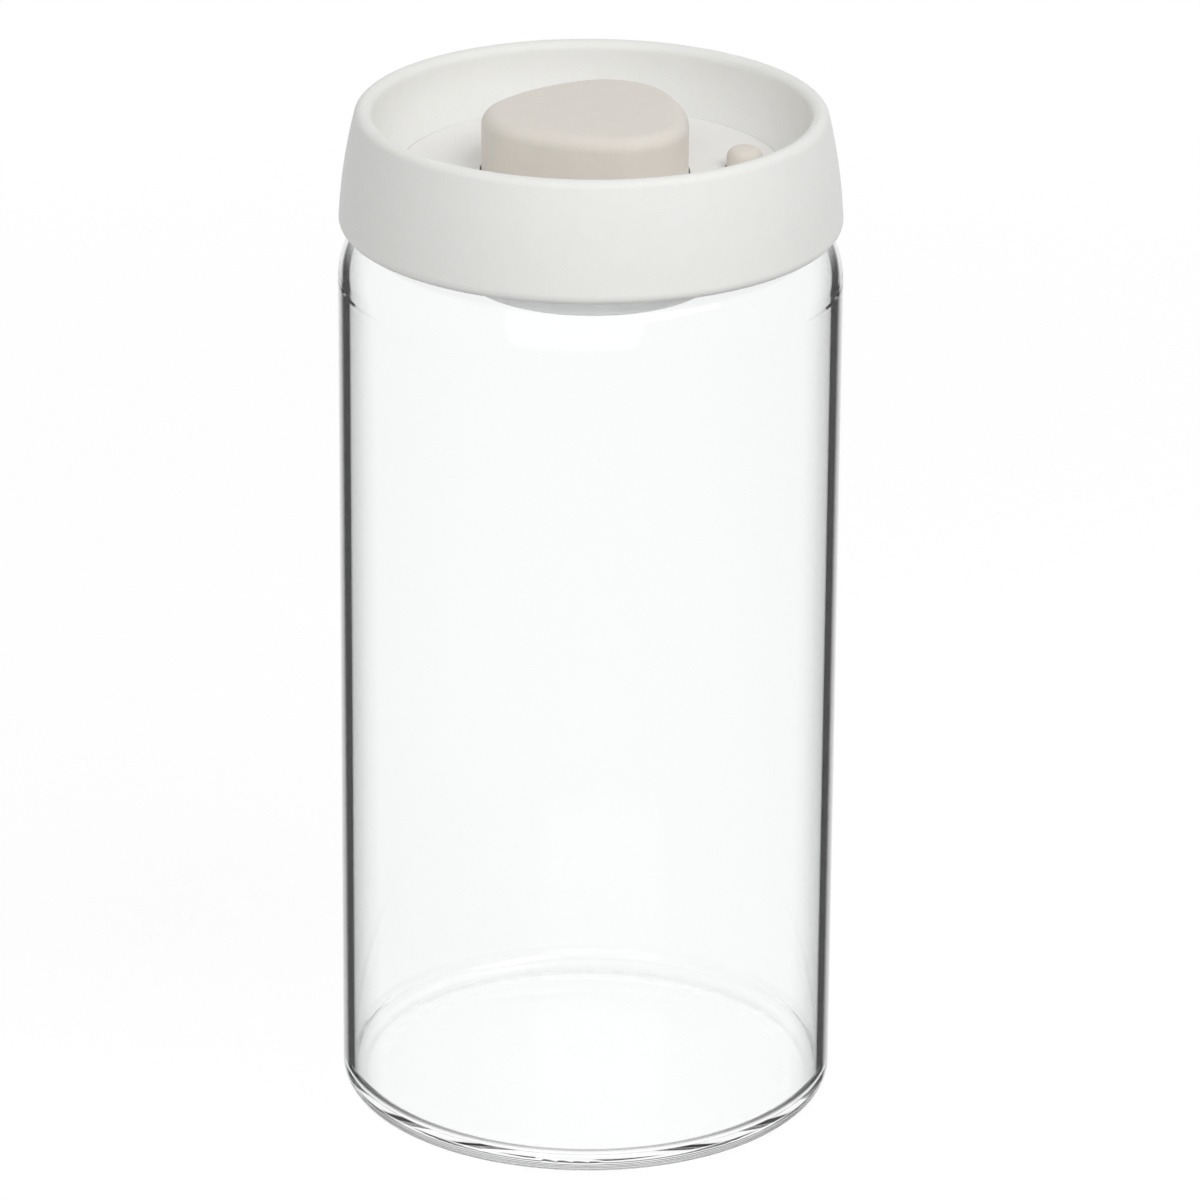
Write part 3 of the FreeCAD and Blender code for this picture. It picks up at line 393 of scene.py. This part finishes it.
def add_masked(tree, source, output, stops, mask):
    """A ramp of one value, kept to what a mask lets through."""
    ramp = add_ramp(tree, stops)
    join(tree, source, output, ramp, "Fac")
    kept = add_node(tree, "ShaderNodeMath", operation="MULTIPLY")
    join(tree, ramp, "Color", kept, 0)
    join(tree, mask, "Value", kept, 1)
    return kept


def blend(tree, share, first, second):
    """One shader laid over another by a share; each comes as a node and the name of its output."""
    mixed = add_node(tree, "ShaderNodeMixShader")
    join(tree, share[0], share[1], mixed, 0)
    join(tree, first[0], first[1], mixed, 1)
    join(tree, second[0], second[1], mixed, 2)
    return mixed


def add_glass_tint_and_edge_shade(tree, facing, outer):
    """The glass's colour: clear, and darkened by painted shade on the outer skin as it turns away."""
    depth = add_ramp(tree, GLASS_EDGE_SHADE, GLASS_TINT)
    join(tree, facing, "Facing", depth, "Fac")
    tint = add_node(tree, "ShaderNodeMix", data_type="RGBA")
    tint.inputs["A"].default_value = GLASS_CLEAR
    join(tree, outer, "Value", tint, "Factor")
    join(tree, depth, "Color", tint, "B")
    return tint


def add_ripple(tree, even):
    """The faint waves of pressed glass."""
    waves = add_speckle(tree, GLASS_WAVE, GLASS_WAVE_STRETCH)
    ripple = add_node(tree, "ShaderNodeBump", GLASS_RIPPLE)
    join(tree, waves, "Value", ripple, "Height")
    join(tree, even, "Vector", ripple, "Normal")
    return ripple


def clear_glass():
    """Clear pressed glass: open when seen straight through, with painted shade darkening it along its edges.
    """
    material, tree, output = new_material("clear_glass")
    around, spoke, outward = add_outward(tree)
    outer, inner = add_wall_masks(tree, around, outward)
    even = add_even_normal(tree, around, spoke, outward)
    facing = add_node(tree, "ShaderNodeLayerWeight", {"Blend": 0.5})
    bounce = add_node(tree, "ShaderNodeFresnel", {"IOR": GLASS_IOR})
    tint = add_glass_tint_and_edge_shade(tree, facing, outer)
    glass = add_node(tree, "ShaderNodeBsdfPrincipled", {
        "Roughness": 0.0, "IOR": GLASS_IOR, "Transmission Weight": 1.0})
    join(tree, tint, "Result", glass, "Base Color")
    join(tree, add_ripple(tree, even), "Normal", glass, "Normal")
    skin = add_node(tree, "ShaderNodeBsdfRefraction", {"IOR": GLASS_IOR, "Roughness": 0.0})
    join(tree, tint, "Result", skin, "Color")
    wall = add_node(tree, "ShaderNodeBsdfRefraction", {
        "Color": GLASS_PAINTED_DARK, "IOR": GLASS_IOR, "Roughness": 0.0})
    for node in (facing, bounce, skin, wall):
        join(tree, even, "Vector", node, "Normal")
    # Painted shade along the glass's edges: the outer skin's reflection is taken away, and a dark wall colour
    # is laid in.
    dull = add_masked(tree, facing, "Facing", GLASS_REFLECTION_CUT, outer)
    held = add_masked(tree, facing, "Facing", GLASS_LIP, inner)
    dark = add_masked(tree, bounce, "Fac", GLASS_DARK_SHARE, held)
    dulled = blend(tree, (dull, "Value"), (glass, "BSDF"), (skin, "BSDF"))
    edged = blend(tree, (dark, "Value"), (dulled, "Shader"), (wall, "BSDF"))
    open_glass = add_node(tree, "ShaderNodeBsdfTransparent", {"Color": GLASS_SHADOW})
    path = add_node(tree, "ShaderNodeLightPath")
    chosen = blend(tree, (path, "Is Shadow Ray"), (edged, "Shader"), (open_glass, "BSDF"))
    join(tree, chosen, "Shader", output, "Surface")
    return material


def milky_silicone():
    """Soft translucent rubber with a dusty bloom."""
    material, tree, output = new_material("silicone")
    clouds = add_speckle(tree, SILICONE_CLOUD)
    tone = add_node(tree, "ShaderNodeMix", data_type="RGBA")
    tone.inputs["A"].default_value = linear(SILICONE_MILK)
    tone.inputs["B"].default_value = darker(SILICONE_MILK, SILICONE_SHADE)
    join(tree, clouds, "Value", tone, "Factor")
    bloom = add_speckle(tree, SILICONE_BLOOM)
    rough = add_node(tree, "ShaderNodeMapRange", SILICONE_ROUGH)
    join(tree, bloom, "Value", rough, "Value")
    shader = add_node(tree, "ShaderNodeBsdfPrincipled", SILICONE_BODY)
    join(tree, tone, "Result", shader, "Base Color")
    join(tree, rough, "Result", shader, "Roughness")
    join(tree, shader, "BSDF", output, "Surface")
    return material


def bright_steel():
    """Drawn and plated steel, with fine turning lines."""
    material, tree, output = new_material("steel")
    lines = add_speckle(tree, STEEL_LINE, STEEL_LINE_STRETCH)
    stains = add_speckle(tree, STEEL_STAIN)
    tone = add_node(tree, "ShaderNodeMix", data_type="RGBA")
    tone.inputs["A"].default_value = linear(STEEL_GREY)
    tone.inputs["B"].default_value = darker(STEEL_GREY, STEEL_SHADE)
    join(tree, stains, "Value", tone, "Factor")
    rough = add_node(tree, "ShaderNodeMapRange", STEEL_ROUGH)
    join(tree, lines, "Value", rough, "Value")
    scratch = add_node(tree, "ShaderNodeBump", STEEL_SCRATCH)
    join(tree, lines, "Value", scratch, "Height")
    shader = add_node(tree, "ShaderNodeBsdfPrincipled", {"Metallic": 1.0})
    join(tree, tone, "Result", shader, "Base Color")
    join(tree, rough, "Result", shader, "Roughness")
    join(tree, scratch, "Normal", shader, "Normal")
    join(tree, shader, "BSDF", output, "Surface")
    return material


def pressed_felt():
    """Felt: matted fibres, paler on top, with painted shade in the hollows between."""
    material, tree, output = new_material("felt")
    fibres = add_speckle(tree, FELT_FIBRE, FELT_FIBRE_STRETCH)
    tone = add_node(tree, "ShaderNodeMix", data_type="RGBA")
    tone.inputs["A"].default_value = darker(FELT_GREY, FELT_HOLLOW_SHADE)
    tone.inputs["B"].default_value = linear(FELT_GREY)
    join(tree, fibres, "Value", tone, "Factor")
    fuzz = add_node(tree, "ShaderNodeBump", FELT_FUZZ)
    join(tree, fibres, "Value", fuzz, "Height")
    shader = add_node(tree, "ShaderNodeBsdfPrincipled", FELT_BODY)
    join(tree, tone, "Result", shader, "Base Color")
    join(tree, fuzz, "Normal", shader, "Normal")
    join(tree, shader, "BSDF", output, "Surface")
    return material


def mesh_piece(name, points, faces, material):
    """A smooth mesh piece from its points and faces."""
    mesh = bpy.data.meshes.new(name)
    mesh.from_pydata(points, [], faces)
    shape = bmesh.new()
    shape.from_mesh(mesh)
    bmesh.ops.recalc_face_normals(shape, faces=shape.faces)
    shape.to_mesh(mesh)
    shape.free()
    mesh.polygons.foreach_set("use_smooth", [True] * len(mesh.polygons))
    mesh.materials.append(material)
    piece = bpy.data.objects.new(name, mesh)
    bpy.context.scene.collection.objects.link(piece)
    return piece


def ease(share):
    """A smooth step from 0 to 1."""
    share = min(max(share, 0.0), 1.0)
    return share * share * (3.0 - 2.0 * share)


def coil_rise(turn, turns, dead_rise, height):
    """Height along a coil: closed turns at both ends, open ones between, and a smooth change of pitch."""
    open_rise = (height - 2.0 * dead_rise) / (turns - 2.0)
    rise = 0.0
    for step in range(PITCH_STEPS):
        here = turn * (step + 0.5) / PITCH_STEPS
        opened = ease(here - CLOSED_PART) * ease(turns - CLOSED_PART - here)
        pitch = dead_rise + (open_rise - dead_rise) * opened
        rise += pitch * turn / PITCH_STEPS
    return rise


def wound_spring(name, wire, turns, material):
    """A compression spring of round wire with closed, ground ends, in the space of the CAD spring."""
    low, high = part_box(name)
    middle = (low + high) / 2.0
    radius = (high.x - low.x - wire) / 2.0
    bottom = low.z + wire / 2.0
    height = high.z - low.z - wire
    count = STEPS_PER_TURN * turns
    closed = wire + CLOSED_GAP
    heights = [coil_rise(turns * step / count, turns, closed, height) for step in range(count + 1)]
    scale = height / heights[-1]
    points = []
    for step, rise in enumerate(heights):
        angle = 2.0 * math.pi * step / STEPS_PER_TURN
        out = Vector((math.cos(angle), math.sin(angle), 0.0))
        centre = Vector((middle.x, middle.y, bottom + rise * scale)) + out * radius
        for corner in range(WIRE_SIDES):
            turn = 2.0 * math.pi * corner / WIRE_SIDES
            point = centre + (out * math.cos(turn) + Vector((0.0, 0.0, math.sin(turn)))) * wire / 2.0
            points.append(point)
    faces = []
    for step in range(count):
        for corner in range(WIRE_SIDES):
            follow = (corner + 1) % WIRE_SIDES
            start = step * WIRE_SIDES
            ahead = start + WIRE_SIDES
            faces.append((start + corner, start + follow, ahead + follow, ahead + corner))
    faces.append(tuple(range(WIRE_SIDES)))
    faces.append(tuple(count * WIRE_SIDES + corner for corner in range(WIRE_SIDES)))
    ground = wire * GROUND_SHARE
    for point in points:
        point.z = min(max(point.z, low.z + ground), high.z - ground)
    return mesh_piece(name + "_wire", points, faces, material)


def add_spring(name, wire, turns):
    """One wound spring, carried with the lid."""
    spring = wound_spring(name, wire, turns, FINISH["steel"])
    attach(spring, "lid")
    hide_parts(name)
    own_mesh(spring)


def add_felt_pad():
    """The filter's felt ring: a crowned pad with a fibrous face and a soft edge."""
    low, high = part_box("filter_pad")
    middle = (low + high) / 2.0
    outer = (high.x - low.x) / 2.0
    half = (high.z - low.z) / 2.0
    points = []
    for step in range(FELT_AROUND):
        angle = 2.0 * math.pi * step / FELT_AROUND
        out = Vector((math.cos(angle), math.sin(angle), 0.0))
        for side in range(FELT_ACROSS):
            turn = 2.0 * math.pi * side / FELT_ACROSS
            wide = math.copysign(abs(math.cos(turn)) ** FELT_EDGE, math.cos(turn))
            tall = math.copysign(abs(math.sin(turn)) ** FELT_FACE, math.sin(turn))
            reach = (outer + FELT_HOLE) / 2.0 + (outer - FELT_HOLE) / 2.0 * wide
            along = angle * reach * FIBRES_PER_METRE
            spot = Vector((along, reach * FIBRES_PER_METRE, tall * FIBRES_DEEP))
            fibre = 0.5 + 0.5 * noise.noise(spot)
            full = 1.0 - FELT_NAP * fibre
            reach -= FELT_NAP * half * fibre * wide
            points.append(middle + out * reach + Vector((0.0, 0.0, half * tall * full)))
    faces = []
    for step in range(FELT_AROUND):
        here = step * FELT_ACROSS
        there = (step + 1) % FELT_AROUND * FELT_ACROSS
        for side in range(FELT_ACROSS):
            follow = (side + 1) % FELT_ACROSS
            faces.append((here + side, here + follow, there + follow, there + side))
    pad = mesh_piece("felt_ring", points, faces, FINISH["felt"])
    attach(pad, "lid")
    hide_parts("filter_pad")


def dress_nodes():
    """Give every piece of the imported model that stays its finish."""
    for name, finish in NODE_FINISH.items():
        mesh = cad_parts[name].data
        mesh.materials.clear()
        mesh.materials.append(FINISH[finish])


def add_floor():
    """A wide pale floor that stays white behind the jar and keeps its soft shadow."""
    reach = FLOOR_REACH
    corners = [(-reach, -reach, 0.0), (reach, -reach, 0.0), (reach, reach, 0.0), (-reach, reach, 0.0)]
    material, tree, output = new_material("studio_floor")
    paper = add_node(tree, "ShaderNodeBsdfDiffuse", {"Color": (FLOOR_PALE, FLOOR_PALE, FLOOR_PALE, 1.0)})
    shade = (FLOOR_SHADE, FLOOR_SHADE, FLOOR_SHADE, 1.0)
    shaded = add_node(tree, "ShaderNodeBsdfDiffuse", {"Color": shade})
    glow = add_node(tree, "ShaderNodeEmission", {"Strength": FLOOR_GLOW})
    near = add_node(tree, "ShaderNodeAddShader")
    join(tree, shaded, "BSDF", near, 0)
    join(tree, glow, "Emission", near, 1)
    white = add_node(tree, "ShaderNodeEmission", {"Strength": 1.0})
    place = add_node(tree, "ShaderNodeNewGeometry")
    away = add_node(tree, "ShaderNodeVectorMath", operation="LENGTH")
    join(tree, place, "Position", away, 0)
    fade = add_node(tree, "ShaderNodeMapRange", {"From Min": FLOOR_NEAR, "From Max": FLOOR_FAR},
                    interpolation_type="SMOOTHSTEP")
    join(tree, away, "Value", fade, "Value")
    shown = blend(tree, (fade, "Result"), (near, "Shader"), (white, "Emission"))
    lit = blend(tree, (add_seen(tree), "Value"), (paper, "BSDF"), (shown, "Shader"))
    join(tree, lit, "Shader", output, "Surface")
    floor = mesh_piece("floor", corners, [(0, 1, 2, 3)], material)


def add_seen(tree):
    """A value of 1 for what the camera sees, straight, mirrored or through glass, and 0 for other light."""
    path = add_node(tree, "ShaderNodeLightPath")
    direct = add_node(tree, "ShaderNodeMath", operation="MAXIMUM")
    join(tree, path, "Is Camera Ray", direct, 0)
    join(tree, path, "Is Glossy Ray", direct, 1)
    seen = add_node(tree, "ShaderNodeMath", operation="MAXIMUM")
    join(tree, direct, "Value", seen, 0)
    join(tree, path, "Is Transmission Ray", seen, 1)
    return seen


def add_world():
    """A white room for the camera and for reflections, and a gentler one for the light that it sends."""
    world = bpy.data.worlds.new("studio")
    bpy.context.scene.world = world
    world.use_nodes = True
    tree = world.node_tree
    tree.nodes.clear()
    output = add_node(tree, "ShaderNodeOutputWorld")
    room = add_node(tree, "ShaderNodeBackground", {"Color": WHITE, "Strength": ROOM_LIGHT})
    white = add_node(tree, "ShaderNodeBackground", {"Color": WHITE, "Strength": 1.0})
    chosen = blend(tree, (add_seen(tree), "Value"), (room, "Background"), (white, "Background"))
    join(tree, chosen, "Shader", output, "Surface")


def stand_round(round_angle, rise, away):
    """A place round the jar: angle from the front towards the right, height angle and distance."""
    flat = away * math.cos(rise)
    offset = Vector((math.sin(round_angle) * flat, -math.cos(round_angle) * flat, math.sin(rise) * away))
    return JAR_MIDDLE + offset


def add_softbox(name, round_angle, rise, away, wide, tall, power):
    """A soft box that faces the jar."""
    lamp = bpy.data.lights.new(name, "AREA")
    lamp.shape = "RECTANGLE"
    lamp.size = wide
    lamp.size_y = tall
    lamp.energy = power
    place = bpy.data.objects.new(name, lamp)
    place.visible_glossy = False
    bpy.context.scene.collection.objects.link(place)
    place.location = stand_round(math.radians(round_angle), math.radians(rise), away)
    place.rotation_mode = "QUATERNION"
    place.rotation_quaternion = (JAR_MIDDLE - place.location).to_track_quat("-Z", "Y")


def add_camera():
    """The camera at the photograph's viewing angle."""
    data = bpy.data.cameras.new("camera")
    data.lens = CAMERA_LENS
    data.clip_start = NEAREST_SEEN
    data.clip_end = FARTHEST_SEEN
    camera = bpy.data.objects.new("camera", data)
    bpy.context.scene.collection.objects.link(camera)
    camera.location = stand_round(CAMERA_ROUND, CAMERA_RISE, CAMERA_AWAY)
    right = Vector((math.cos(CAMERA_ROUND), math.sin(CAMERA_ROUND), 0.0))
    ahead = (JAR_MIDDLE - camera.location).normalized()
    aim = JAR_MIDDLE + right * AIM_RIGHT + right.cross(ahead) * AIM_UP
    level = (aim - camera.location).to_track_quat("-Z", "Y")
    camera.rotation_mode = "QUATERNION"
    camera.rotation_quaternion = level @ Quaternion((0.0, 0.0, 1.0), CAMERA_ROLL)
    bpy.context.scene.camera = camera


SPECKLE = make_speckle()
MOULDED_SKIN = make_moulded_skin()
FINISH = {"clear_glass": clear_glass()}
for plastic, look in PLASTICS.items():
    FINISH[plastic] = moulded_plastic(plastic, **look)
FINISH["silicone"] = milky_silicone()
FINISH["steel"] = bright_steel()
FINISH["felt"] = pressed_felt()

dress_nodes()
add_spring("pump_spring", PUMP_WIRE, PUMP_TURNS)
add_spring("release_spring", RELEASE_WIRE, RELEASE_TURNS)
add_felt_pad()
add_floor()
add_world()
for box_name, box in SOFTBOXES.items():
    add_softbox(box_name, **box)
add_camera()

scene = bpy.context.scene
scene.view_settings.view_transform = "Standard"
scene.cycles.max_bounces = LIGHT_PATHS
scene.cycles.glossy_bounces = LIGHT_PATHS
scene.cycles.transmission_bounces = LIGHT_PATHS
